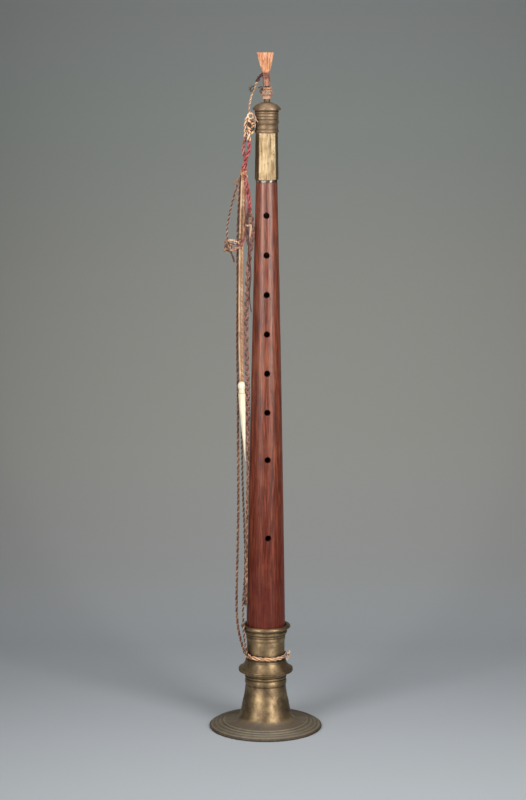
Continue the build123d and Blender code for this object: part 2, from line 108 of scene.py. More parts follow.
def newObject(name, vertices, faces, materials):
    mesh = bpy.data.meshes.new(name)
    mesh.from_pydata([tuple(v) for v in vertices], [], faces)
    for material in materials:
        mesh.materials.append(material)
    mesh.polygons.foreach_set("use_smooth", [True] * len(mesh.polygons))
    mesh.update()
    piece = bpy.data.objects.new(name, mesh)
    scene.collection.objects.link(piece)
    return piece


def lineLength(line):
    return sum((b - a).length for a, b in zip(line, line[1:]))


def evenly(line, step):  # the same line with its points a step apart
    total = lineLength(line)
    count = max(2, round(total / step))
    spacing = total / count
    result = [line[0].copy()]
    walked, target = 0, spacing
    for a, b in zip(line, line[1:]):
        length = (b - a).length
        while length > 0 and walked + length >= target - 1e-9 and len(result) < count:
            result.append(a.lerp(b, (target - walked) / length))
            target += spacing
        walked += length
    result.append(line[-1].copy())
    return result


# the smooth spline through a route's points in millimetres, read back as points
def splineLine(points, step=0.0004):
    curve = bpy.data.curves.new("line", "CURVE")
    curve.dimensions = "3D"
    spline = curve.splines.new("NURBS")
    spline.points.add(len(points) - 1)
    for point, at in zip(spline.points, points):
        point.co = (*mm(at), 1)
    spline.order_u = 3
    spline.use_endpoint_u = True
    spline.resolution_u = 16
    holder = bpy.data.objects.new("line", curve)
    scene.collection.objects.link(holder)
    bpy.context.view_layer.update()
    mesh = bpy.data.meshes.new_from_object(holder)
    line = [v.co.copy() for v in mesh.vertices]
    bpy.data.objects.remove(holder)
    bpy.data.meshes.remove(mesh)
    return evenly(line, step)


def frames(line, side=None):  # a steady pair of side directions along a line
    result = []
    for i in range(len(line)):
        tangent = (line[min(i + 1, len(line) - 1)] - line[max(i - 1, 0)]).normalized()
        side = tangent.orthogonal() if side is None else side
        side = (side - tangent * side.dot(tangent)).normalized()
        result.append((tangent, side, tangent.cross(side)))
    return result


# vertices and faces of a round tube; thin gives a share of the radius along it
def tubeMesh(line, radius, sides=7, thin=None):
    vertices, faces = [], []
    for i, (at, (tangent, side, up)) in enumerate(zip(line, frames(line))):
        reach = radius * (thin(i / (len(line) - 1)) if thin else 1)
        for k in range(sides):
            angle = 2 * math.pi * k / sides
            vertices.append(at + side * math.cos(angle) * reach + up * math.sin(angle) * reach)
    for i in range(len(line) - 1):
        for k in range(sides):
            a, b = i * sides + k, i * sides + (k + 1) % sides
            faces.append((a, b, b + sides, a + sides))
    faces.append(tuple(reversed(range(sides))))
    faces.append(tuple(range(len(vertices) - sides, len(vertices))))
    return vertices, faces


def joined(meshes):
    vertices, faces = [], []
    for someVertices, someFaces in meshes:
        base = len(vertices)
        vertices += someVertices
        faces += [tuple(i + base for i in face) for face in someFaces]
    return vertices, faces


# by number of plies: each ply's radius and its distance from the middle, as shares of the cord's diameter
plyShapes = {1: (0.5, 0), 2: (0.265, 0.3), 3: (0.24, 0.29)}
# how far hand twisting strays, in radians and shares, and its rate along the cord
strays = {"turn": (0.5, 160), "throw": (0.25, 300), "thickness": (0.14, 60)}
ringsPerTurn = 11


# plies laid round a line like twisted cord; swell plumps the yarn beyond the cord's measured diameter
def pliedMesh(line, cord, rng):
    plies = cord.get("plies", 2)
    diameter = cord["diameter"] * cord.get("swell", 1) / 1000
    pitch = cord["pitch"] / 1000
    thickness, throw = plyShapes[plies]
    wide, deep = cord.get("flat", (1, 1))  # a flat plait is wider than it is deep
    step = pitch / ringsPerTurn
    line = evenly(line, step)
    sideFrames = frames(line, Vector((1, 0, 0)) if "flat" in cord else None)
    phaseStart = rng.uniform(0, 2 * math.pi)
    shift = rng.uniform(0, 100)
    meshes = []
    for ply in range(plies):
        strand = []
        phase = phaseStart + 2 * math.pi * ply / plies
        for i, (at, (tangent, side, up)) in enumerate(zip(line, sideFrames)):
            along = i * step
            most, rate = strays["turn"]
            wobble = noise.noise(Vector((along * rate, shift, ply))) * most
            angle = phase + cord.get("hand", 1) * 2 * math.pi * along / pitch + wobble
            most, rate = strays["throw"]
            reach = diameter * throw * (1 + most * noise.noise(Vector((along * rate, shift + 9, ply))))
            turn = angle * 2 if "flat" in cord else angle
            if "narrows" in cord:  # the plait runs out into a plain twist
                first, last = cord["narrows"]
                share = min(1, max(0, (i / (len(line) - 1) - first) / (last - first)))
                wide, deep = (flat + (1 - flat) * share for flat in cord["flat"])
            strand.append(at + side * math.cos(angle) * reach * wide + up * math.sin(turn) * reach * deep)
        most, rate = strays["thickness"]
        thin = lambda share, base=shift + ply: 1 + most * noise.noise(Vector((share * rate, base, 3)))
        meshes.append(tubeMesh(strand, diameter * thickness, thin=thin))
    return joined(meshes)


# a hair's radius in metres and its points; the rest are shares
hair = {"radius": 0.00009, "steps": 5, "rooted": 0.85, "astray": 0.5, "curl": 0.25, "sag": 0.12,
        "sag per droop": 0.2, "shortest": 0.5, "taper": 0.7}


# loose hairs that stand off a place: centre and spread in millimetres, how many, how long
def fibreMesh(tuft, rng, droop=0.0):
    centre, spread, count, length = tuft
    meshes = []
    for _ in range(count):
        direction = Vector([rng.gauss(0, 1) for _ in range(3)]).normalized()
        root = Vector([direction[k] * spread[k] / 1000 for k in range(3)]) * hair["rooted"]
        astray = Vector([rng.gauss(0, hair["astray"]) for _ in range(3)])
        heading = (direction + astray - Vector((0, 0, droop))).normalized()
        sag = Vector((0, 0, hair["sag"] + droop * hair["sag per droop"]))
        bend = Vector([rng.gauss(0, hair["curl"]) for _ in range(3)]) - sag
        reach = rng.uniform(hair["shortest"], 1) * length / 1000
        line = [mm(centre) + root]
        for _ in range(hair["steps"]):
            line.append(line[-1] + heading * reach / hair["steps"])
            heading = (heading + bend).normalized()
        meshes.append(tubeMesh(line, hair["radius"], 3, lambda share: 1 - hair["taper"] * share))
    return joined(meshes)


# Hemp and cotton twisted by hand: dull, streaked along the fibres, with painted shade between the plies.
def twistedFibre(name, colours, paintedShadeColour):
    material, tree, shader, coords = newMaterial(name, {
        "Roughness": 0.85, "Specular IOR Level": 0.25, "Sheen Weight": 0.15})
    stretched = addNode(tree, "Mapping", None, {"Vector": coords, "Scale": (1, 1, 0.35)})
    streaks = addNode(tree, "TexNoise", None, {  # single fibres, drawn coarse at 0.66 mm
        "Vector": stretched.outputs[0], "Scale": perMetre(0.66), "Detail": 3, "Roughness": 0.6})
    patches = addNode(tree, "TexNoise", None, {
        "Vector": coords, "Scale": perMetre(5), "Detail": 4, "Roughness": 0.65})
    share = addNode(tree, "Mix", None, {
        "Factor": 0.6, 2: streaks.outputs[0], 3: patches.outputs[0]})
    body = addNode(tree, "ValToRGB", {
        "stops": list(zip((0.36, 0.5, 0.66), colours))}, {"Fac": share.outputs[0]})
    # painted shade: darker between the plies, where ambient occlusion finds a hollow
    hollow = addNode(tree, "AmbientOcclusion", {"samples": 6}, {"Distance": 0.0014})
    patinaAndShade = addNode(tree, "MapRange", None, {
        "Value": hollow.outputs["AO"], "From Min": 0.35, "From Max": 0.9, "To Min": 1, "To Max": 0})
    colour = addNode(tree, "Mix", {"data_type": "RGBA"}, {
        "Factor": patinaAndShade.outputs[0], 6: body.outputs[0], 7: srgb(paintedShadeColour)})
    tree.links.new(colour.outputs[2], shader.inputs["Base Color"])
    bump = addNode(tree, "Bump", None, {
        "Height": streaks.outputs[0], "Strength": 0.5, "Distance": 0.0002})
    tree.links.new(bump.outputs[0], shader.inputs["Normal"])
    return material


# each cord's last colour is the painted shade between its plies
goldCord = twistedFibre("hemp cord, golden", ("#a86c42", "#efb380", "#ffe3ba"), "#34200f")
paleCord = twistedFibre("hemp cord, pale", ("#ab7a5a", "#e4b892", "#ffe4c6"), "#3a261c")
tanCord = twistedFibre("hemp cord, tan", ("#7c5340", "#b98a6b", "#e6be9a"), "#2b1a14")
brownCord = twistedFibre("hemp cord, brown", ("#3a241a", "#613f2f", "#906c51"), "#1a0f0a")
umberCord = twistedFibre("hemp cord, handled umber", ("#674130", "#9b6c52", "#cc9d7e"), "#24140f")
greyCord = twistedFibre("hemp cord, weathered grey", ("#745d4e", "#9c8370", "#c2aa94"), "#2a1d16")
redCord = twistedFibre("cotton cord, faded red", ("#7f3434", "#a84f4d", "#c9766d"), "#421a1b")
roseCord = twistedFibre("cotton cord, faded rose", ("#84403b", "#b0655c", "#d09287"), "#3e1c1b")
darkThread = twistedFibre("cotton thread, dark red", ("#34191b", "#5a2d2e", "#84504a"), "#180d0d")
bindThread = twistedFibre("cotton thread, red brown", ("#80493c", "#ac7a67", "#cfa691"), "#45241d")
woundThread = twistedFibre("cotton thread, wound", ("#8e6850", "#bf947a", "#e6c4a8"), "#452f25")


# a piece rides one body, or stays where it is when it spans two, and stands for the node that it replaces
def carry(piece, holder):
    if "bend" in holder:
        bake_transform(piece)
    else:
        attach(piece, holder["body"])
    if "stands for" in holder:
        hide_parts(holder["stands for"])


# a plied cord on its route; each ply has its material
# "second above": the second material from that height up; "faded below": none of the second one there
def layCord(cord):
    rng = random.Random(cord["name"])
    line = splineLine(cord["route"])
    vertices, faces = pliedMesh(line, cord, rng)
    piece = newObject(cord["name"] + "_strands", vertices, faces, cord["materials"])
    # the plies' materials are partly the cords' own colours and partly painted shade: a darker second ply
    # stands for the shade between the plies
    perPly = len(faces) // cord.get("plies", 2)
    for i, face in enumerate(piece.data.polygons):
        if "second above" in cord:
            face.material_index = int(face.center.z > cord["second above"] / 1000)
        else:
            face.material_index = min(i // perPly, len(cord["materials"]) - 1)
        if face.material_index == 1 and face.center.z < cord.get("faded below", 0) / 1000:
            face.material_index = 0
    carry(piece, cord)


layCord({
    "name": "leader", "diameter": 1.3, "pitch": 3.2, "materials": [paleCord, tanCord],
    "route": [(-3.9, 0, 496.2), (-6.3, -0.4, 491.9), (-8.6, -0.8, 487), (-11, -1.3, 480.6),
        (-12.7, -1.9, 474.2), (-13, -2.4, 468), (-12.2, -2.8, 465.8)],
    "bend": ("pipe", "staple", (-13.2, -2.4, 469), (-6.3, -0.4, 492)),
    "stands for": "leader_cord", "end": "object"})
layCord({
    "name": "rose", "diameter": 1.8, "swell": 1.3, "pitch": 8.6, "materials": [roseCord, paleCord],
    "second above": 449.5,
    "route": [(-13.6, -2.6, 465.6), (-15, -2.2, 463.2), (-15.7, -1.8, 459.2), (-15.7, -1.4, 454),
        (-15.8, -0.8, 448.2), (-17.6, -0.5, 441.6), (-16.6, -0.3, 435.2), (-14.9, -0.4, 429.4),
        (-15.8, -0.8, 424), (-15.6, -1.6, 419.3), (-15.5, -1.8, 414), (-15.8, -1.8, 406.4),
        (-16.3, -1.8, 397), (-15.5, -2.2, 388.4), (-15.4, -3, 380), (-17.4, -3.7, 372.6),
        (-20.6, -3.7, 368.2), (-25, -2.5, 366.4)],
    "body": "pipe", "stands for": "rose_cord", "end": "object"})
layCord({
    "name": "red", "diameter": 2.3, "swell": 1.24, "pitch": 10.0, "materials": [redCord, paleCord],
    "second above": 447.5,
    "route": [(-13.3, -3.4, 453.2), (-13, -3.4, 446.4), (-12.9, -3.3, 440.2), (-14.9, -3.1, 434),
        (-17.1, -2.8, 429), (-17.6, -1.9, 424.6), (-16.4, -1.2, 420), (-14.6, -1, 415.2),
        (-13.4, -1.2, 408.6), (-12.7, -1.4, 402.2), (-12.5, -1.5, 397.6)],
    "body": "pipe", "stands for": "red_cord", "end": "knot"})
layCord({
    "name": "pin_left", "diameter": 1.6, "pitch": 3.3, "materials": [goldCord, paleCord],
    "route": [(-17.9, -1.1, 423.6), (-18.4, -2.6, 414), (-18.8, -2.9, 398), (-19.4, -2.4, 380),
        (-19.9, -1.5, 360), (-20.1, -1.5, 320), (-19.9, -1.5, 288), (-19.3, -1.5, 272),
        (-18.8, -1.5, 267.4)],
    "body": "pipe", "stands for": "pin_cord_left", "end": "object"})
layCord({
    "name": "pin_right", "diameter": 1.6, "pitch": 3.5, "materials": [goldCord, tanCord], "hand": -1,
    "route": [(-17, -1, 423.6), (-17, -2.4, 412), (-17.3, -2.9, 394), (-17.8, -2.4, 380),
        (-18.2, -1.5, 362), (-18.4, -1.5, 322), (-18.2, -1.5, 290), (-18, -1.5, 274), (-17.7, -1.5, 267.5)],
    "body": "pipe", "stands for": "pin_cord_right", "end": "object"})
bellBend = ("bell", "pipe", (-18, 0, 62), (-21, 0, 330))
layCord({
    "name": "bell_left", "diameter": 1.5, "swell": 1.24, "pitch": 4.6, "materials": [umberCord, brownCord],
    "route": [(-18.6, 0.4, 423.6), (-20.6, 0.6, 404), (-21.7, 0.7, 372), (-21.5, 1, 332), (-22, 1.6, 300),
        (-21.3, 2.6, 262), (-21.3, 2.6, 222), (-20.9, 1.8, 184), (-21.3, 1, 144), (-22.3, 0.4, 108),
        (-22.3, 0, 90), (-21.3, -0.4, 78), (-19.4, -0.8, 68.6), (-16.9, -1.2, 60.6), (-16, -2, 57.6)],
    "bend": bellBend, "stands for": "bell_cord_left", "end": "object"})
layCord({
    "name": "bell_right", "diameter": 1.5, "swell": 1.1, "pitch": 4.0, "materials": [greyCord, brownCord],
    "route": [(-17.2, 0.9, 423.6), (-18.2, 0.8, 404), (-18.6, 0.9, 372), (-18.2, 1.2, 332),
        (-18.5, 2.4, 294), (-18.2, 3, 258), (-18.4, 2.4, 224), (-18, 1.2, 194), (-16.9, 0.4, 166),
        (-15.8, -0.8, 141), (-15.6, -2.6, 121), (-16.9, -5.4, 106), (-17.4, -8.6, 95), (-17, -10.4, 85),
        (-16.9, -10.8, 76), (-15.9, -9, 67.4), (-14.8, -8, 60.6), (-14, -8.2, 57.8)],
    "bend": bellBend, "stands for": "bell_cord_right", "end": "object"})
layCord({
    "name": "braid", "diameter": 2.1, "pitch": 7.5, "plies": 3, "flat": (2.2, 1.3), "narrows": (0.46, 0.66),
    "materials": [umberCord, roseCord, brownCord], "faded below": 215,
    "route": [(-12.9, -1.6, 396), (-11.8, -2.2, 391.6), (-10.5, -3, 387), (-9.9, -4, 380.6),
        (-10.9, -3.2, 371.6), (-12.7, -2, 362.4), (-13.9, -1.5, 347), (-15, -1.5, 322),
        (-15.1, -2.1, 294), (-13.8, -2.9, 258), (-13.5, -3.6, 222), (-13.9, -4, 190), (-14.5, -4.8, 160),
        (-14.7, -5.8, 130), (-15.1, -6.8, 98)],
    "body": "pipe", "stands for": "braid_cord", "end": "knot"})
layCord({
    "name": "loop", "diameter": 1.3, "pitch": 3.0, "materials": [paleCord, tanCord],
    "route": [(-13.5, -1.4, 396.6), (-14.8, -0.4, 389.4), (-15, 0.5, 381.4), (-14.5, 0.6, 373.2),
        (-13.2, 0.6, 365), (-12.4, 0.7, 357.6), (-12.6, 0.7, 350.6)],
    "body": "pipe", "stands for": "loop_cord", "end": "bare"})
layCord({
    "name": "side", "diameter": 1.35, "pitch": 3.6, "materials": [tanCord, darkThread],
    "route": [(-19.2, -0.6, 421), (-21.3, -0.6, 416), (-22.6, -1, 410.8), (-25, -1.1, 403.4),
        (-27.3, -1.1, 394.2), (-29.2, -1.1, 383.6), (-29.4, -1.1, 373.8), (-27.6, -1.8, 370),
        (-25.4, -2.6, 370.6), (-22.9, -3.5, 371.4), (-20.9, -3.9, 372.2), (-19.3, -4.3, 374.2)],
    "body": "pipe", "stands for": "side_cord", "end": "bare"})
layCord({
    "name": "dark", "diameter": 0.8, "pitch": 2.8, "materials": [darkThread],
    "route": [(-13.7, -2.8, 396), (-13.7, -3.7, 385), (-13.4, -4.3, 377), (-13.5, -4.4, 367),
        (-12.5, -4.2, 357), (-11.2, -3.6, 347.6), (-12.5, -3.2, 338.2), (-12.7, -2.8, 328.4),
        (-11.2, -2.6, 320)],
    "body": "pipe", "stands for": "dark_thread", "end": "bare"})

# two loose turns round the bell's collar
wrap = {"start": 200, "turns": 2.06, "reach": 15.6, "waver": 0.2, "base": 55.9, "rise": 1.9, "slack": 0.35,
        "samples": 44}


def wrapRoute():
    route = []
    for i in range(wrap["samples"] + 1):
        share = i / wrap["samples"]
        angle = math.radians(wrap["start"]) + share * wrap["turns"] * 2 * math.pi
        reach = wrap["reach"] + wrap["waver"] * math.sin(5 * angle)
        level = wrap["base"] + wrap["rise"] * share + wrap["slack"] * math.sin(2 * angle + 0.4)
        route.append((reach * math.cos(angle), reach * math.sin(angle), level))
    return route


layCord({
    "name": "wrap", "diameter": 1.7, "pitch": 10.0, "materials": [goldCord, tanCord], "route": wrapRoute(),
    "body": "bell", "stands for": "neck_wrap", "end": "object", "lay": "coiled"})
print("cords laid")


# strands on their routes with loose hairs as one piece; its strands take the materials in turn
def addKnot(knot):
    rng = random.Random(knot["name"])
    meshes = [pliedMesh(splineLine(route), knot, rng) for route in knot["routes"]]
    meshes += [fibreMesh(tuft, rng, knot.get("droop", 0.2)) for tuft in knot.get("hairs", [])]
    vertices, faces = joined(meshes)
    materials = knot["materials"]
    piece = newObject(knot["name"] + "_strands", vertices, faces, materials)
    shades = [k % len(materials) for k, mesh in enumerate(meshes) for _ in mesh[1]]
    piece.data.polygons.foreach_set("material_index", shades)
    carry(piece, knot)


# strands that weave past one another down a knot, drawn in at both ends and slipped a little out of place
def plaitRoutes(plait, samples=26):
    routes = []
    for strand in range(plait["strands"]):
        route = []
        for i in range(samples + 1):
            share = i / samples
            slip = [most * noise.noise(Vector((share * plait["slip rate"], strand * 3, 1 + 3 * axis)))
                    for axis, most in enumerate(plait["slip"])]
            angle = (share * plait["turns"] + strand / plait["strands"]) * 2 * math.pi
            swell = math.sin(math.pi * (0.14 + 0.74 * share)) ** 0.6  # fuller in the middle
            route.append((plait["centre"][0] + plait["half"][0] * swell * math.sin(angle) + slip[0],
                          plait["centre"][1] + plait["half"][1] * swell * math.sin(2 * angle) + slip[1],
                          plait["centre"][2] + plait["half"][2] * (1 - 2 * share) + slip[2]))
        routes.append(route)
    return routes


# one strand wound in loops through a rounded lump
def ballRoute(centre, half, rates, phases, samples=40):
    route = []
    for i in range(samples + 1):
        angle = 2 * math.pi * i / samples
        route.append(tuple(centre[k] + half[k] * math.sin(rates[k] * angle + phases[k]) for k in range(3)))
    return route


# a round eye of cord that closes on itself a little in front of its start; angles in degrees
def eyeRoute(centre, radius, start, sweep, forward=0.35, samples=18):
    route = []
    for i in range(samples + 1):
        angle = math.radians(start + sweep * i / samples)
        route.append((centre[0] + radius * math.cos(angle), centre[1] - forward * i / samples,
                      centre[2] + radius * math.sin(angle)))
    return route


addKnot({
    "name": "eye_knot", "diameter": 1.4, "pitch": 3.0, "plies": 1,
    "materials": [paleCord, goldCord, brownCord, goldCord, paleCord], "body": "pipe",
    "routes": [eyeRoute((-11.9, -2.6, 465.2), 2.1, 250, 400)] +
              plaitRoutes({"centre": (-11.5, -3.7, 457.4), "half": (2.2, 1.3, 5.2), "strands": 3,
                           "turns": 1.45, "slip": (0.5, 0.5, 1.1), "slip rate": 7}),
    "hairs": [((-11.5, -3.4, 457), (2.8, 1.8, 4.5), 30, 2.2)], "stands for": "eye_knot"})
addKnot({
    "name": "eye_threads", "diameter": 0.7, "pitch": 2.0, "materials": [paleCord], "body": "pipe",
    "routes": [
        [(-9.8, -3.6, 466.8), (-8.2, -5.2, 465), (-7.9, -6, 462.4), (-9, -5.6, 460.2)],
        [(-10, -3.2, 464), (-7.6, -5.8, 462.8), (-6.6, -7.2, 461)],
        [(-9.6, -4.2, 461.6), (-7.8, -6, 459.2), (-8.6, -5.8, 456.8)]],
    "hairs": [((-8.6, -5.2, 463), (1.0, 0.8, 2.4), 16, 1.8)]})
addKnot({
    "name": "red_end_knot", "diameter": 1.2, "pitch": 2.6, "materials": [redCord], "body": "pipe",
    "routes": [ballRoute((-12.8, -1.5, 396.6), (1.2, 1.1, 1.6), (3, 2, 1), (0, 1, 0.4))],
    "hairs": [((-12.8, -1.5, 396), (1.5, 1.3, 1.8), 26, 2.6)], "stands for": "red_end_knot"})
addKnot({
    "name": "side_knot", "diameter": 1.5, "pitch": 3.2, "materials": [tanCord, brownCord, paleCord],
    "body": "pipe",
    "routes": [ballRoute((-28.9, -1.2, 369.2), (2.3, 1.1, 3.7), (2, 3, 1), (0.3, 1, 0)),
               ballRoute((-28.6, -1.2, 367.6), (2.6, 1.2, 2.6), (1, 2, 3), (1.3, 0, 0.7)),
               [(-28.6, -1.6, 373.2), (-25.6, -2.6, 374.2), (-22.4, -3.6, 372.4), (-19.8, -4.2, 371.4)],
               [(-28.2, -1.6, 366.2), (-25.4, -2.8, 365.8), (-22.6, -3.8, 368.0), (-19.6, -4.2, 368.4)],
               [(-26.8, -1.6, 365.4), (-25.4, -2.0, 362.4), (-24.4, -2.2, 359.6), (-24.0, -2.0, 357.4)]],
    "hairs": [((-28.4, -1.2, 368.5), (3.0, 1.4, 4.4), 50, 2.6),
              ((-24.0, -2.0, 358), (0.7, 0.7, 1), 14, 2.4)],
    "stands for": "side_knot"})
addKnot({
    "name": "braid_tassel", "diameter": 1.15, "pitch": 2.8, "materials": [brownCord], "body": "pipe",
    "routes": [ballRoute((-15.2, -6.8, 99.2), (0.85, 0.85, 1.2), (3, 2, 1), (0, 1, 0.4))],
    "hairs": [((-15.2, -6.8, 98.6), (0.9, 0.9, 1.0), 60, 3.4)], "droop": 1.6, "stands for": "braid_tassel"})
addKnot({
    "name": "wrap_knot", "diameter": 1.0, "pitch": 2.6, "materials": [paleCord], "body": "bell",
    "routes": [ballRoute((17.3, -3.4, 57.2), (0.7, 0.9, 1.1), (3, 2, 1), (0, 1, 0.4)),
               [(17.2, -3.6, 57.8), (18.1, -3.9, 59.0), (18.3, -4.0, 60.4)],
               [(16.8, -4.6, 56.8), (17.4, -5.6, 55.0), (16.4, -6.4, 53.8), (15.4, -6.4, 55.2)]],
    "hairs": [((17.3, -3.4, 57.2), (0.9, 1.0, 1.4), 14, 1.6)], "stands for": "wrap_knot"})
addKnot({
    "name": "tie_tails", "diameter": 0.75, "pitch": 2.2, "materials": [tanCord], "body": "pipe",
    "routes": [
        [(-19.2, -1, 420.6), (-21.8, -1.4, 418.6), (-24.2, -1.6, 416.4), (-24.9, -1.6, 415.2)],
        [(-19.6, -1.2, 418), (-22, -1.5, 415.6), (-24.2, -1.6, 413.6), (-21, -1.6, 411.8)],
        [(-19.8, -1.4, 411.4), (-22.8, -1.8, 410), (-23.4, -1.8, 406.8), (-21, -1.6, 403.6)]],
    "hairs": [((-22.4, -1.2, 415.6), (2.0, 1.0, 2.2), 70, 2.4),
              ((-22.4, -1.2, 406.4), (1.6, 0.8, 4.0), 60, 2.4)]})
addKnot({
    "name": "cluster", "diameter": 1.4, "pitch": 3.2, "materials": [paleCord, tanCord, brownCord],
    "body": "pipe",
    "routes": [
        [(-15.6, -4.2, 385.2), (-13.6, -4.9, 384.4), (-11.7, -4.9, 385.4), (-11.4, -4.6, 382.4),
         (-12.3, -4.6, 376.6)],
        [(-17.6, -4.4, 397.6), (-16.3, -4.7, 391.4), (-17.5, -4.6, 386), (-16.6, -4.6, 380.4),
         (-17.8, -4.6, 374.4)],
        [(-13.6, -3, 395), (-14.3, -4, 389.4), (-13.3, -4.5, 383.6), (-14.5, -4.4, 378)]],
    "hairs": [((-16.8, -3.9, 385), (1.6, 0.7, 10.0), 60, 2.2),
              ((-13.9, -4.2, 384), (1.4, 0.7, 10.0), 60, 2.2)]})
print("knots made")


laying = {"slip": 0.07, "steps": 22}  # how far a turn sits off its place, and the points in a turn


# a helix of thread over a turned profile, each turn a little off its place, leaning with the reed
def windRoute(winding):
    rng = random.Random(winding["name"])
    turns = (winding["top"] - winding["base"]) / winding["pitch"]
    steps = laying["steps"]
    offsets = [rng.uniform(-laying["slip"], laying["slip"]) for _ in range(int(turns) + 3)]
    centre = winding.get("centre", (0, 0))
    flat = winding.get("flat", 1)
    route = []
    for i in range(int(turns * steps) + 1):
        turn = i / steps
        angle = 2 * math.pi * turn
        level = winding["base"] + turn * winding["pitch"] + winding.get("slant", 0) * math.sin(angle)
        slack = offsets[int(turn)] * (1 - turn % 1) + offsets[int(turn) + 1] * (turn % 1)
        reach = winding["profile"](level) + slack
        route.append(mm((centre[0] + reach * math.cos(angle) + reedLean(level),
                         centre[1] + flat * reach * math.sin(angle), level)))
    return route


# thread wound tight on a turned body, with any tails
def addWinding(winding):
    rng = random.Random(winding["name"])
    thread = {"diameter": winding["diameter"], "pitch": winding["twist"]}
    meshes = [pliedMesh(windRoute(winding), thread, rng)]
    meshes += [pliedMesh(splineLine(tail), thread, rng) for tail in winding.get("tails", [])]
    meshes += [fibreMesh(tuft, rng) for tuft in winding.get("hairs", [])]
    vertices, faces = joined(meshes)
    piece = newObject(winding["name"] + "_thread", vertices, faces, [winding["material"]])
    carry(piece, winding)


# the reed sits a little askew on its staple, leaning to the left
lean = {"from": 484.5, "slope": 0.047}


def reedLean(level):
    return -lean["slope"] * max(0, level - lean["from"])


# the packing on the staple, a small roll below a fuller one: each one's foot, height, reach and swell
packing = {"low": (477.2, 3.0, 2.6, 0.4), "full": (479.9, 4.8, 3.3, 0.75), "meet": 480.2}


def staplePack(level):
    foot, height, reach, swell = packing["low" if level < packing["meet"] else "full"]
    return reach + swell * math.sin(math.pi * min(1, (level - foot) / height))


addWinding({
    "name": "staple_roll", "profile": staplePack, "base": 477.6, "top": 484.3, "pitch": 0.86,
    "diameter": 1.0, "twist": 2.2, "material": woundThread, "body": "staple", "slant": 0.12,
    "hairs": [((0, 0, 481.4), (3.6, 3.6, 3), 30, 1.6)]})
addWinding({
    "name": "ring_wrap", "profile": lambda level: 2.95, "base": 484.8, "top": 486.2, "pitch": 0.62,
    "diameter": 1.1, "twist": 2.6, "material": tanCord, "body": "staple", "slant": 0.15,
    "hairs": [((-3.4, -1.6, 485.4), (1.0, 1.0, 1.2), 16, 1.6)]})
addWinding({
    "name": "reed_wrap", "profile": lambda level: 2.55 + 0.1 * math.sin((level - 491.8) * 3.5),
    "base": 492.1, "top": 496.9, "pitch": 0.8, "diameter": 0.85, "twist": 2.4, "material": bindThread,
    "body": "reed", "slant": 0.12, "stands for": "reed_binding"})
addWinding({
    "name": "tie", "profile": lambda level: 1.85, "base": 421.7, "top": 425.3, "pitch": 0.95,
    "centre": (-17.0, -0.9), "flat": 0.8, "diameter": 1.05, "twist": 2.6, "material": goldCord,
    "body": "pipe", "slant": 0.4, "stands for": "strand_tie",
    "tails": [[(-18.9, -1.6, 424.8), (-16.6, -2.9, 422.4), (-14.9, -2.2, 421.8), (-14.0, -2.0, 420.2)]],
    "hairs": [((-17.0, -0.9, 423.5), (2.2, 1.9, 1.9), 30, 1.8)]})
addKnot({
    "name": "reed_tails", "diameter": 0.85, "pitch": 2.4, "materials": [darkThread],
    "bend": ("staple", "reed", (-7.4, -0.6, 491.4), (-3.4, -1.0, 496.4)),
    "routes": [
        [(-3.1, -1, 496.6), (-4.6, -1.4, 495.6), (-6, -1.2, 494), (-7.6, -0.8, 491.2), (-8.4, -0.8, 490.2)],
        [(-3, -1.2, 495), (-4.4, -1.6, 493.8), (-5.6, -1.4, 493), (-5.2, -1.6, 491.2), (-6.8, -1.2, 490.4)],
        [(-5.2, -0.8, 494.8), (-6.4, -1.6, 493), (-6.9, 0.6, 491.8), (-7.3, -1.2, 490.6)]],
    "hairs": [((-6.4, -1.0, 492.4), (1.4, 0.6, 1.8), 26, 1.8)]})
addKnot({
    "name": "leader_tails", "diameter": 0.8, "pitch": 2.4, "materials": [brownCord], "body": "staple",
    "routes": [
        [(-3.2, -1.9, 485.6), (-4.2, -2.8, 485), (-5.4, -2.8, 483.4), (-4.4, -2.8, 481.8)],
        [(-3.4, -1.6, 486.4), (-5, -2.4, 486.8), (-6.2, -2.4, 485.6)],
        [(-9.4, -2.2, 487.2), (-11.4, -2.4, 486.4), (-12.4, -2.2, 484.6), (-11.4, -2.2, 483.2)]],
    "hairs": [((-11.4, -2.0, 485.4), (1.4, 0.7, 2.2), 44, 2.0),
              ((-4.8, -2.2, 484.6), (1.0, 0.6, 1.6), 20, 1.6)]})
print("windings made")


# Dried palm leaf, folded: warm and dull, long fibres up each pleat, a little light through the thin edge.
def driedPalmLeaf(name, veinColours):
    material, tree, shader, coords = newMaterial(name, {
        "Roughness": 0.7, "Subsurface Weight": 0.2, "Subsurface Radius": (0.002, 0.001, 0.0005),
        "Specular IOR Level": 0.3})
    upright = addNode(tree, "Mapping", None, {"Vector": coords, "Scale": (1, 1, 0.05)})
    fibres = addNode(tree, "TexNoise", None, {  # leaf veins half a millimetre apart
        "Vector": upright.outputs[0], "Scale": perMetre(0.5), "Detail": 3, "Roughness": 0.6})
    patches = addNode(tree, "TexNoise", None, {
        "Vector": coords, "Scale": perMetre(4), "Detail": 3})
    veins = addNode(tree, "ValToRGB", {
        "stops": list(zip((0.36, 0.5, 0.62), veinColours))}, {"Fac": fibres.outputs[0]})
    discoloured = addNode(tree, "MapRange", None, {
        "Value": patches.outputs[0], "From Min": 0.45, "From Max": 0.75, "To Max": 0.5})
    colour = addNode(tree, "Mix", {"data_type": "RGBA"}, {
        "Factor": discoloured.outputs[0], 6: veins.outputs[0], 7: srgb("#bd7444")})
    tree.links.new(colour.outputs[2], shader.inputs["Base Color"])
    bump = addNode(tree, "Bump", None, {
        "Height": fibres.outputs[0], "Strength": 0.6, "Distance": 0.0003})
    tree.links.new(bump.outputs[0], shader.inputs["Normal"])
    return material


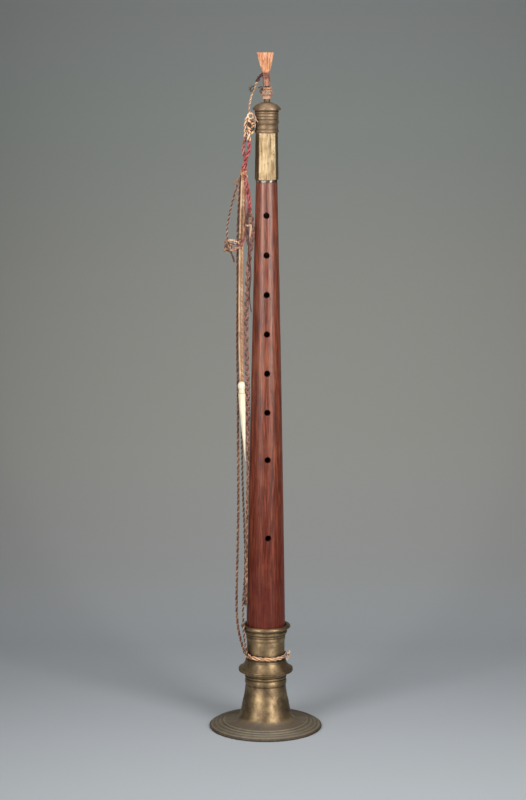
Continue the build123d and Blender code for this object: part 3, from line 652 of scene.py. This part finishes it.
fanLeaf = driedPalmLeaf("palm leaf, dried and folded", ("#8c5432", "#c98b66", "#e2b792"))
footLeaf = driedPalmLeaf("palm leaf, stained by handling", ("#5f3b2e", "#8c614e", "#b88f79"))
fan = {"base": 491.75, "rises": (0, 5.4, 6.4, 11.6, 20.0), "widths": (2.28, 2.28, 3.1, 4.55, 6.38),
       "depths": (2.28, 2.28, 2.15, 1.7, 1.05), "pleats": 9, "pleat": 0.3, "pleats from": 5.6,
       "pleats open": 4, "height": 19.95, "leaf": 0.28, "next leaf": 0.35, "side inset": 0.9,
       "ragged": 0.35, "inner shorter": 0.25, "crown": 0.15, "slit": 0.06}


# half width and half thickness of the fan at a rise above its foot
def fanAt(rise):
    rises = fan["rises"]
    for k in range(len(rises) - 1):
        if rise <= rises[k + 1]:
            share = (rise - rises[k]) / (rises[k + 1] - rises[k])
            share = share * share * (3 - 2 * share) if k == 1 else share  # eased out of the binding
            return tuple(fan[side][k] + share * (fan[side][k + 1] - fan[side][k])
                         for side in ("widths", "depths"))
    return fan["widths"][-1], fan["depths"][-1]


# one leaf of the fan as a thin pleated shell with an uneven top edge
def addLeaf(name, layer, side):
    rng = random.Random(name)
    around, up = 64, 30
    shorter = fan["inner shorter"] if layer else 0
    ragged = [rng.uniform(-fan["ragged"], 0.0) - shorter for _ in range(around + 1)]
    vertices, faces = [], []
    for skin in (0, 1):
        inset = layer * fan["next leaf"] + skin * fan["leaf"]
        for j in range(up + 1):
            for i in range(around + 1):
                share = i / around
                rise = (j / up) * (fan["height"] + ragged[i] - fan["crown"] * (2 * share - 1) ** 2)
                width, depth = fanAt(rise)
                angle = math.pi * share
                spread = min(1, max(0, (rise - fan["pleats from"]) / fan["pleats open"]))
                pleat = fan["pleat"] * spread * math.sin(fan["pleats"] * math.pi * share * 2 + layer)
                level = fan["base"] + rise
                x = -(width - inset * fan["side inset"]) * math.cos(angle) + reedLean(level)
                y = side * max(fan["slit"], (depth - inset + pleat) * math.sin(angle))
                vertices.append(mm((x, y, level)))
    ring = around + 1
    count = ring * (up + 1)
    for j in range(up):
        for i in range(around):
            a = j * ring + i
            quad = (a, a + 1, a + 1 + ring, a + ring)
            faces.append(quad if side < 0 else quad[::-1])
            back = tuple(v + count for v in quad)
            faces.append(back[::-1] if side < 0 else back)
    for i in range(around):
        a, b = up * ring + i, up * ring + i + 1
        faces.append((a, b, b + count, a + count))
        faces.append((i + 1, i, i + count, i + 1 + count))
    for j in range(up):
        a, b = j * ring, (j + 1) * ring
        faces.append((a, b, b + count, a + count))
        faces.append((b + around, a + around, a + around + count, b + around + count))
    piece = newObject("reed_" + name, vertices, faces, [fanLeaf])
    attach(piece, "reed")
    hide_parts("reed_leaf_" + name)


for layer, depth in ((0, "outer"), (1, "inner")):
    addLeaf("front_" + depth, layer, -1)
    addLeaf("back_" + depth, layer, 1)

# the leaf's rolled foot between the binding and the ring
stock = {"base": 486.95, "top": 491.8, "foot": 2.75, "head": 2.9, "waist": 0.12, "bore": 1.7,
         "folds": 9, "fold": 0.08, "twist": 1.2}


def addStock():
    vertices, faces = [], []
    around, up = 72, 10
    for skin in (0, 1):
        for j in range(up + 1):
            share = j / up
            level = stock["base"] + share * (stock["top"] - stock["base"])
            for i in range(around):
                angle = 2 * math.pi * i / around
                crease = stock["fold"] * math.sin(stock["folds"] * angle + stock["twist"] * share)
                waist = -stock["waist"] * math.sin(math.pi * share)
                reach = stock["foot"] + share * (stock["head"] - stock["foot"]) + crease + waist
                reach = stock["bore"] if skin else reach
                x = reach * math.cos(angle) + reedLean(level)
                vertices.append(mm((x, reach * math.sin(angle), level)))
    count = around * (up + 1)
    for j in range(up):
        for i in range(around):
            a, b = j * around + i, j * around + (i + 1) % around
            faces.append((a, b, b + around, a + around))
            faces.append((a + around + count, b + around + count, b + count, a + count))
    top = up * around
    for i in range(around):
        k = (i + 1) % around
        faces.append((k, i, i + count, k + count))
        faces.append((top + i, top + k, top + k + count, top + i + count))
    piece = newObject("reed_foot", vertices, faces, [footLeaf])
    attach(piece, "reed")
    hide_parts("reed_stock")


addStock()
print("reed folded")


# the disc's ridges by their radius, and the stretch of radius that its ramp of colour covers
disc = {"ridges": (32.1, 35.2, 38.2, 41.1), "half": 0.3, "ramp": (24, 42), "wander": 1.2,
        "field": "#5a5146", "line": "#777162", "rim": "#332c25"}


def ridgeStops():
    inner, outer = disc["ramp"]
    stops = [(0.0, disc["field"])]
    for radius in disc["ridges"]:
        for offset, tone in ((-2, "field"), (-1, "line"), (1, "line"), (2, "field")):
            place = (radius + offset * disc["half"] - inner) / (outer - inner)
            stops.append((place, disc[tone]))
    return stops + [(0.99, disc["rim"])]


# Cast brass turned on a lathe: brown satin patina, dark in the grooves, rubbed bright by hands.
def agedCastBrass(brass):
    material, tree, shader, coords = newMaterial(brass["name"], {
        "Anisotropic": brass["drawn"], "Anisotropic Rotation": 0.25})
    around = addNode(tree, "Tangent", {"direction_type": "RADIAL", "axis": "Z"})
    tree.links.new(around.outputs[0], shader.inputs["Tangent"])  # turning draws the lights out upright
    clouds = addNode(tree, "TexNoise", None, {
        "Vector": coords, "Scale": perMetre(12), "Detail": 6, "Roughness": 0.65, "Distortion": 0.4})
    specks = addNode(tree, "TexNoise", None, {
        "Vector": coords, "Scale": perMetre(1.6), "Detail": 4, "Roughness": 0.65})
    banded = addNode(tree, "Mapping", None, {"Vector": coords, "Scale": (0.12, 0.12, 1)})
    toolMarks = addNode(tree, "TexNoise", None, {  # turning marks, drawn coarse at 1 mm
        "Vector": banded.outputs[0], "Scale": perMetre(1.0), "Detail": 3, "Roughness": 0.6})
    patina = addNode(tree, "ValToRGB", {
        "stops": list(zip((0.35, 0.5, 0.65), brass["patina"]))}, {"Fac": clouds.outputs[0]})
    hollow = addNode(tree, "AmbientOcclusion", {"samples": 8}, {"Distance": 0.0028})
    patinaAndShade = addNode(tree, "MapRange", None, {
        "Value": hollow.outputs["AO"], "From Min": 0.5, "From Max": 0.96, "To Min": 0.95, "To Max": 0})
    darkened = addNode(tree, "Mix", {"data_type": "RGBA"}, {
        "Factor": patinaAndShade.outputs[0], 6: patina.outputs[0], 7: srgb("#33281e")})
    spotted = addNode(tree, "MapRange", None, {
        "Value": specks.outputs[0], "From Min": 0.56, "From Max": 0.72, "To Max": 0.6})
    parts = addNode(tree, "SeparateXYZ", None, {"Vector": coords})
    across = addNode(tree, "CombineXYZ", None, {0: parts.outputs["X"], 1: parts.outputs["Y"]})
    radius = addNode(tree, "VectorMath", {"operation": "LENGTH"}, {0: across.outputs[0]})
    wavy = addNode(tree, "Math", {"operation": "MULTIPLY_ADD"}, {  # worn a little out of true
        0: specks.outputs[0], 1: disc["wander"] / 1000, 2: radius.outputs["Value"]})
    inner, outer = ((edge + disc["wander"] / 2) / 1000 for edge in disc["ramp"])
    outwards = addNode(tree, "MapRange", None, {
        "Value": wavy.outputs[0], "From Min": inner, "From Max": outer})
    ridged = addNode(tree, "ValToRGB", {  # the disc is browner, its ridges rubbed pale
        "stops": brass["ridges"]}, {"Fac": outwards.outputs[0]})
    low = addNode(tree, "MapRange", {"interpolation_type": "SMOOTHSTEP"}, {
        "Value": parts.outputs["Z"], "From Min": 0.006, "From Max": 0.0095, "To Min": 0.82, "To Max": 0})
    discColour = addNode(tree, "Mix", {"data_type": "RGBA"}, {
        "Factor": low.outputs[0], 6: darkened.outputs[2], 7: ridged.outputs[0]})
    colour = addNode(tree, "Mix", {"data_type": "RGBA"}, {
        "Factor": spotted.outputs[0], 6: discColour.outputs[2], 7: srgb("#5c4c3c")})
    tree.links.new(colour.outputs[2], shader.inputs["Base Color"])
    dullness = addNode(tree, "MapRange", None, {
        "Value": clouds.outputs[0], "From Min": 0.35, "From Max": 0.65, "To Min": 0.6, "To Max": 0.49})
    dulled = addNode(tree, "Math", {"operation": "MULTIPLY_ADD"}, {
        0: low.outputs[0], 1: 0.15, 2: dullness.outputs[0]})
    bare = addNode(tree, "Math", {"operation": "MULTIPLY_ADD"}, {
        0: low.outputs[0], 1: -0.8, 2: brass["metal"]})
    tree.links.new(bare.outputs[0], shader.inputs["Metallic"])
    roughness = addNode(tree, "Math", {"operation": "MULTIPLY_ADD"}, {
        0: patinaAndShade.outputs[0], 1: 0.2, 2: dulled.outputs[0]})
    tree.links.new(roughness.outputs[0], shader.inputs["Roughness"])
    relief = addNode(tree, "Math", {"operation": "ADD"}, {
        0: toolMarks.outputs[0], 1: specks.outputs[0]})
    bump = addNode(tree, "Bump", None, {
        "Height": relief.outputs[0], "Strength": 0.35, "Distance": 0.0003})
    tree.links.new(bump.outputs[0], shader.inputs["Normal"])
    return material


# Sheet brass polished by hands: pale gold facets with upright scratches and a few dark pits.
def rubbedSheetBrass():
    material, tree, shader, coords = newMaterial("brass sheet, rubbed bright", {"Metallic": 1})
    upright = addNode(tree, "Mapping", None, {"Vector": coords, "Scale": (1, 1, 0.06)})
    scratches = addNode(tree, "TexNoise", None, {  # scratches, drawn coarse at a millimetre
        "Vector": upright.outputs[0], "Scale": perMetre(1.0), "Detail": 4, "Roughness": 0.65})
    clouds = addNode(tree, "TexNoise", None, {
        "Vector": coords, "Scale": perMetre(9), "Detail": 5, "Roughness": 0.65})
    pits = addNode(tree, "TexNoise", None, {
        "Vector": coords, "Scale": perMetre(1.1), "Detail": 3})
    base = addNode(tree, "ValToRGB", {
        "stops": [(0.35, "#8a7457"), (0.5, "#9f8967"), (0.65, "#b09c7e")]}, {"Fac": clouds.outputs[0]})
    scored = addNode(tree, "MapRange", None, {
        "Value": scratches.outputs[0], "From Min": 0.47, "From Max": 0.62, "To Max": 0.95})
    lined = addNode(tree, "Mix", {"data_type": "RGBA"}, {
        "Factor": scored.outputs[0], 6: base.outputs[0], 7: srgb("#715b41")})
    pitted = addNode(tree, "MapRange", None, {
        "Value": pits.outputs[0], "From Min": 0.64, "From Max": 0.7, "To Max": 0.85})
    colour = addNode(tree, "Mix", {"data_type": "RGBA"}, {
        "Factor": pitted.outputs[0], 6: lined.outputs[2], 7: srgb("#4a3522")})
    tree.links.new(colour.outputs[2], shader.inputs["Base Color"])
    dullness = addNode(tree, "MapRange", None, {
        "Value": scratches.outputs[0], "From Min": 0.3, "From Max": 0.7, "To Min": 0.42, "To Max": 0.55})
    tree.links.new(dullness.outputs[0], shader.inputs["Roughness"])
    bump = addNode(tree, "Bump", None, {
        "Height": scratches.outputs[0], "Strength": 0.4, "Distance": 0.0002})
    tree.links.new(bump.outputs[0], shader.inputs["Normal"])
    return material


# Oiled rosewood: dark red brown, upright pores and streaks under a thin satin polish.
def oiledRosewood():
    material, tree, shader, coords = newMaterial("rosewood, turned and oiled", {
        "Coat Weight": 0.3, "Coat Roughness": 0.28, "Specular Tint": srgb("#ffe2d2")})
    upright = addNode(tree, "Mapping", None, {"Vector": coords, "Scale": (1, 1, 0.06)})
    figure = addNode(tree, "TexNoise", None, {  # fine streaks of colour, 1.3 mm wide
        "Vector": upright.outputs[0], "Scale": perMetre(1.3), "Detail": 6, "Roughness": 0.6,
        "Distortion": 0.4})
    pores = addNode(tree, "TexNoise", None, {  # open pores, drawn coarse at a millimetre
        "Vector": upright.outputs[0], "Scale": perMetre(1.0), "Detail": 3, "Roughness": 0.65})
    wear = addNode(tree, "TexNoise", None, {
        "Vector": coords, "Scale": perMetre(18), "Detail": 4, "Roughness": 0.6})
    base = addNode(tree, "ValToRGB", {
        "stops": [(0.36, "#451910"), (0.5, "#672b1a"), (0.64, "#90492f")]}, {"Fac": figure.outputs[0]})
    openPores = addNode(tree, "MapRange", None, {
        "Value": pores.outputs[0], "From Min": 0.52, "From Max": 0.68, "To Max": 0.75})
    grained = addNode(tree, "Mix", {"data_type": "RGBA"}, {
        "Factor": openPores.outputs[0], 6: base.outputs[0], 7: srgb("#2b110c")})
    worn = addNode(tree, "MapRange", None, {
        "Value": wear.outputs[0], "From Min": 0.48, "From Max": 0.7, "To Max": 0.4})
    handled = addNode(tree, "Mix", {"data_type": "RGBA"}, {
        "Factor": worn.outputs[0], 6: grained.outputs[2], 7: srgb("#885038")})
    height = addNode(tree, "SeparateXYZ", None, {"Vector": coords})
    low = addNode(tree, "MapRange", None, {  # painted shade: the foot is painted darker, where the lamps light it less
        "Value": height.outputs["Z"], "From Min": 0.07, "From Max": 0.24, "To Min": 0.75, "To Max": 0})
    polish = addNode(tree, "MapRange", None, {  # hands have polished the upper half
        "Value": height.outputs["Z"], "From Min": 0.14, "From Max": 0.40, "To Min": 0.1})
    tree.links.new(polish.outputs[0], shader.inputs["Specular IOR Level"])
    colour = addNode(tree, "Mix", {"data_type": "RGBA"}, {
        "Factor": low.outputs[0], 6: handled.outputs[2], 7: srgb("#4c1712")})
    tree.links.new(colour.outputs[2], shader.inputs["Base Color"])
    dullness = addNode(tree, "MapRange", None, {
        "Value": pores.outputs[0], "From Min": 0.3, "From Max": 0.7, "To Min": 0.31, "To Max": 0.5})
    tree.links.new(dullness.outputs[0], shader.inputs["Roughness"])
    bump = addNode(tree, "Bump", {"invert": True}, {
        "Height": pores.outputs[0], "Strength": 0.6, "Distance": 0.0003})
    tree.links.new(bump.outputs[0], shader.inputs["Normal"])
    tree.links.new(bump.outputs[0], shader.inputs["Coat Normal"])
    return material


# Bone, scraped and handled: warm white and smooth, faint upright grain, light just under the surface.
def scrapedBone():
    material, tree, shader, coords = newMaterial("bone, scraped and handled", {
        "Roughness": 0.35, "Subsurface Weight": 0.25, "Subsurface Radius": (0.003, 0.002, 0.001)})
    upright = addNode(tree, "Mapping", None, {"Vector": coords, "Scale": (1, 1, 0.08)})
    grain = addNode(tree, "TexNoise", None, {
        "Vector": upright.outputs[0], "Scale": perMetre(1.0), "Detail": 3})
    base = addNode(tree, "ValToRGB", {
        "stops": [(0.35, "#efe3cc"), (0.55, "#e6d8ba"), (0.75, "#cbb48c")]}, {"Fac": grain.outputs[0]})
    # darker in its hollows, found by ambient occlusion
    hollow = addNode(tree, "AmbientOcclusion", {"samples": 6}, {"Distance": 0.0015})
    discoloured = addNode(tree, "MapRange", None, {
        "Value": hollow.outputs["AO"], "From Min": 0.4, "From Max": 0.85, "To Min": 0.75, "To Max": 0})
    colour = addNode(tree, "Mix", {"data_type": "RGBA"}, {
        "Factor": discoloured.outputs[0], 6: base.outputs[0], 7: srgb("#9c7b50")})
    tree.links.new(colour.outputs[2], shader.inputs["Base Color"])
    return material


# Pewter washer gone dull: grey brown with paler rubbed spots.
def dullPewter():
    material, tree, shader, coords = newMaterial("pewter, tarnished", {"Metallic": 1, "Roughness": 0.5})
    stains = addNode(tree, "TexNoise", None, {
        "Vector": coords, "Scale": perMetre(2.5), "Detail": 4})
    colour = addNode(tree, "ValToRGB", {
        "stops": [(0.4, "#4f4740"), (0.52, "#857c70"), (0.62, "#c9c2b4")]}, {"Fac": stains.outputs[0]})
    tree.links.new(colour.outputs[0], shader.inputs["Base Color"])
    return material


bellBrass = agedCastBrass({
    "name": "brass, cast and turned, aged", "patina": ("#6b5a45", "#90795b", "#b09770"),
    "metal": 0.95, "drawn": 0.65, "ridges": ridgeStops()})
capBrass = agedCastBrass({
    "name": "brass, turned, handled brown", "patina": ("#6f5c47", "#90775c", "#ae9375"),
    "metal": 0.8, "drawn": 0.35, "ridges": ridgeStops()})
sheetBrass, wood = rubbedSheetBrass(), oiledRosewood()
bone, pewter = scrapedBone(), dullPewter()
finishes = {"bell_flare": bellBrass, "bell_collar": bellBrass, "brass_cap": capBrass, "staple": capBrass,
            "octagonal_sleeve": sheetBrass, "pipe_body": wood, "spacer_ring": pewter, "bone_pin": bone,
            "seat_lapping": woundThread, "staple_winding": woundThread, "winding_ring": tanCord}
for name, node in nodes.items():
    node.data.materials.clear()
    node.data.materials.append(finishes.get(name, tanCord))
print("materials set")

# one sweep of grey paper, floor and wall, in metres
sweep = {"floor": 0.24, "radius": 0.40, "height": 2.4, "half": 3.0, "front": -2.2, "back": 2.2, "steps": 24}
paper = {"from": -0.6, "to": 2.6, "brightest at": 0.05, "fades by": 0.46, "fades over": 0.2,
         "side": "#202221",
         "tones": [(0.14, "#b0b5b8"), (0.176, "#adb1b5"), (0.20, "#a7abaf"), (0.227, "#9fa3a7"),
                   (0.267, "#9a9ea1"), (0.327, "#8d8e8d"), (0.395, "#888883"), (0.468, "#82827d"),
                   (0.524, "#797d79"), (0.558, "#717473")]}


# Matt studio paper: no gloss, a grey painted with light falloff, darker up the wall, and with painted shade
# towards the sides.
def backdropPaper():
    material, tree, shader, coords = newMaterial("backdrop paper, grey", {
        "Roughness": 0.95, "Specular IOR Level": 0.1})
    parts = addNode(tree, "SeparateXYZ", None, {"Vector": coords})
    along = addNode(tree, "Math", {"operation": "ADD"}, {
        0: parts.outputs["Y"], 1: parts.outputs["Z"]})
    share = addNode(tree, "MapRange", None, {
        "Value": along.outputs[0], "From Min": paper["from"], "From Max": paper["to"]})
    # painted light falloff: the tones run darker from the floor up the wall
    tone = addNode(tree, "ValToRGB", {"stops": paper["tones"]}, {"Fac": share.outputs[0]})
    aside = addNode(tree, "Math", {"operation": "SUBTRACT"}, {
        0: parts.outputs["X"], 1: paper["brightest at"]})
    squared = addNode(tree, "Math", {"operation": "MULTIPLY"}, {
        0: aside.outputs[0], 1: aside.outputs[0]})
    # painted shade: the paper darkens towards both sides
    edge = addNode(tree, "MapRange", None, {
        "Value": squared.outputs[0], "From Max": paper["fades over"], "To Max": paper["fades by"]})
    colour = addNode(tree, "Mix", {"data_type": "RGBA"}, {
        "Factor": edge.outputs[0], 6: tone.outputs[0], 7: srgb(paper["side"])})
    tree.links.new(colour.outputs[2], shader.inputs["Base Color"])
    sides = addNode(tree, "NewGeometry")
    clear = addNode(tree, "BsdfTransparent")
    oneSided = addNode(tree, "MixShader", None, {  # clear from its back, for views from behind
        0: sides.outputs["Backfacing"], 1: shader.outputs[0], 2: clear.outputs[0]})
    tree.links.new(oneSided.outputs[0], tree.nodes["Material Output"].inputs["Surface"])
    return material


def addSweep():
    profile = [(sweep["front"], 0)]
    for i in range(sweep["steps"] + 1):
        angle = math.pi / 2 * i / sweep["steps"]
        y = sweep["floor"] + sweep["radius"] * math.sin(angle)
        profile.append((y, sweep["radius"] * (1 - math.cos(angle))))
    profile.append((sweep["floor"] + sweep["radius"], sweep["height"]))
    vertices, faces = [], []
    for y, z in profile:
        vertices += [(-sweep["half"], y, z), (sweep["half"], y, z)]
    for i in range(len(profile) - 1):
        faces.append((2 * i, 2 * i + 1, 2 * i + 3, 2 * i + 2))
    floorEnd = len(vertices)
    for y in (sweep["floor"], sweep["back"]):  # the floor goes on under the curve
        vertices += [(-sweep["half"], y, 0), (sweep["half"], y, 0)]
    faces.append((floorEnd, floorEnd + 1, floorEnd + 3, floorEnd + 2))
    newObject("backdrop", vertices, faces, [backdropPaper()])


addSweep()

# two tall soft boxes, a large one overhead, and the studio's own pale air; metres, degrees and watts
boxes = {"reach": 1.3, "turn": 38, "height": 0.62, "aim": 0.25, "size": (0.55, 1.2), "power": 16,
         "right more": 0.05}
overhead = {"place": (0, -0.3, 1.9), "aim": 0.2, "size": (1.4, 1.2), "power": 11}
air = {"colour": "#b9bcc0", "strength": 0.24}


def addLight(name, place, aim, size, power):  # a soft box that looks at the pipe at a height
    data = bpy.data.lights.new(name, "AREA")
    data.shape = "RECTANGLE"
    data.size, data.size_y = size
    data.energy = power
    light = bpy.data.objects.new(name, data)
    light.location = place
    light.rotation_euler = (Vector((0, 0, aim)) - Vector(place)).to_track_quat("-Z", "Y").to_euler()
    scene.collection.objects.link(light)


for side in (-1, 1):
    turn = math.radians(boxes["turn"])
    place = (side * boxes["reach"] * math.sin(turn), -boxes["reach"] * math.cos(turn), boxes["height"])
    power = boxes["power"] * (1 + side * boxes["right more"])
    addLight("soft box", place, boxes["aim"], boxes["size"], power)
addLight("top box", overhead["place"], overhead["aim"], overhead["size"], overhead["power"])
world = bpy.data.worlds.new("studio air")
scene.world = world
world.use_nodes = True
background = world.node_tree.nodes["Background"]
background.inputs["Color"].default_value = srgb(air["colour"])
background.inputs["Strength"].default_value = air["strength"]
print("stage lit")
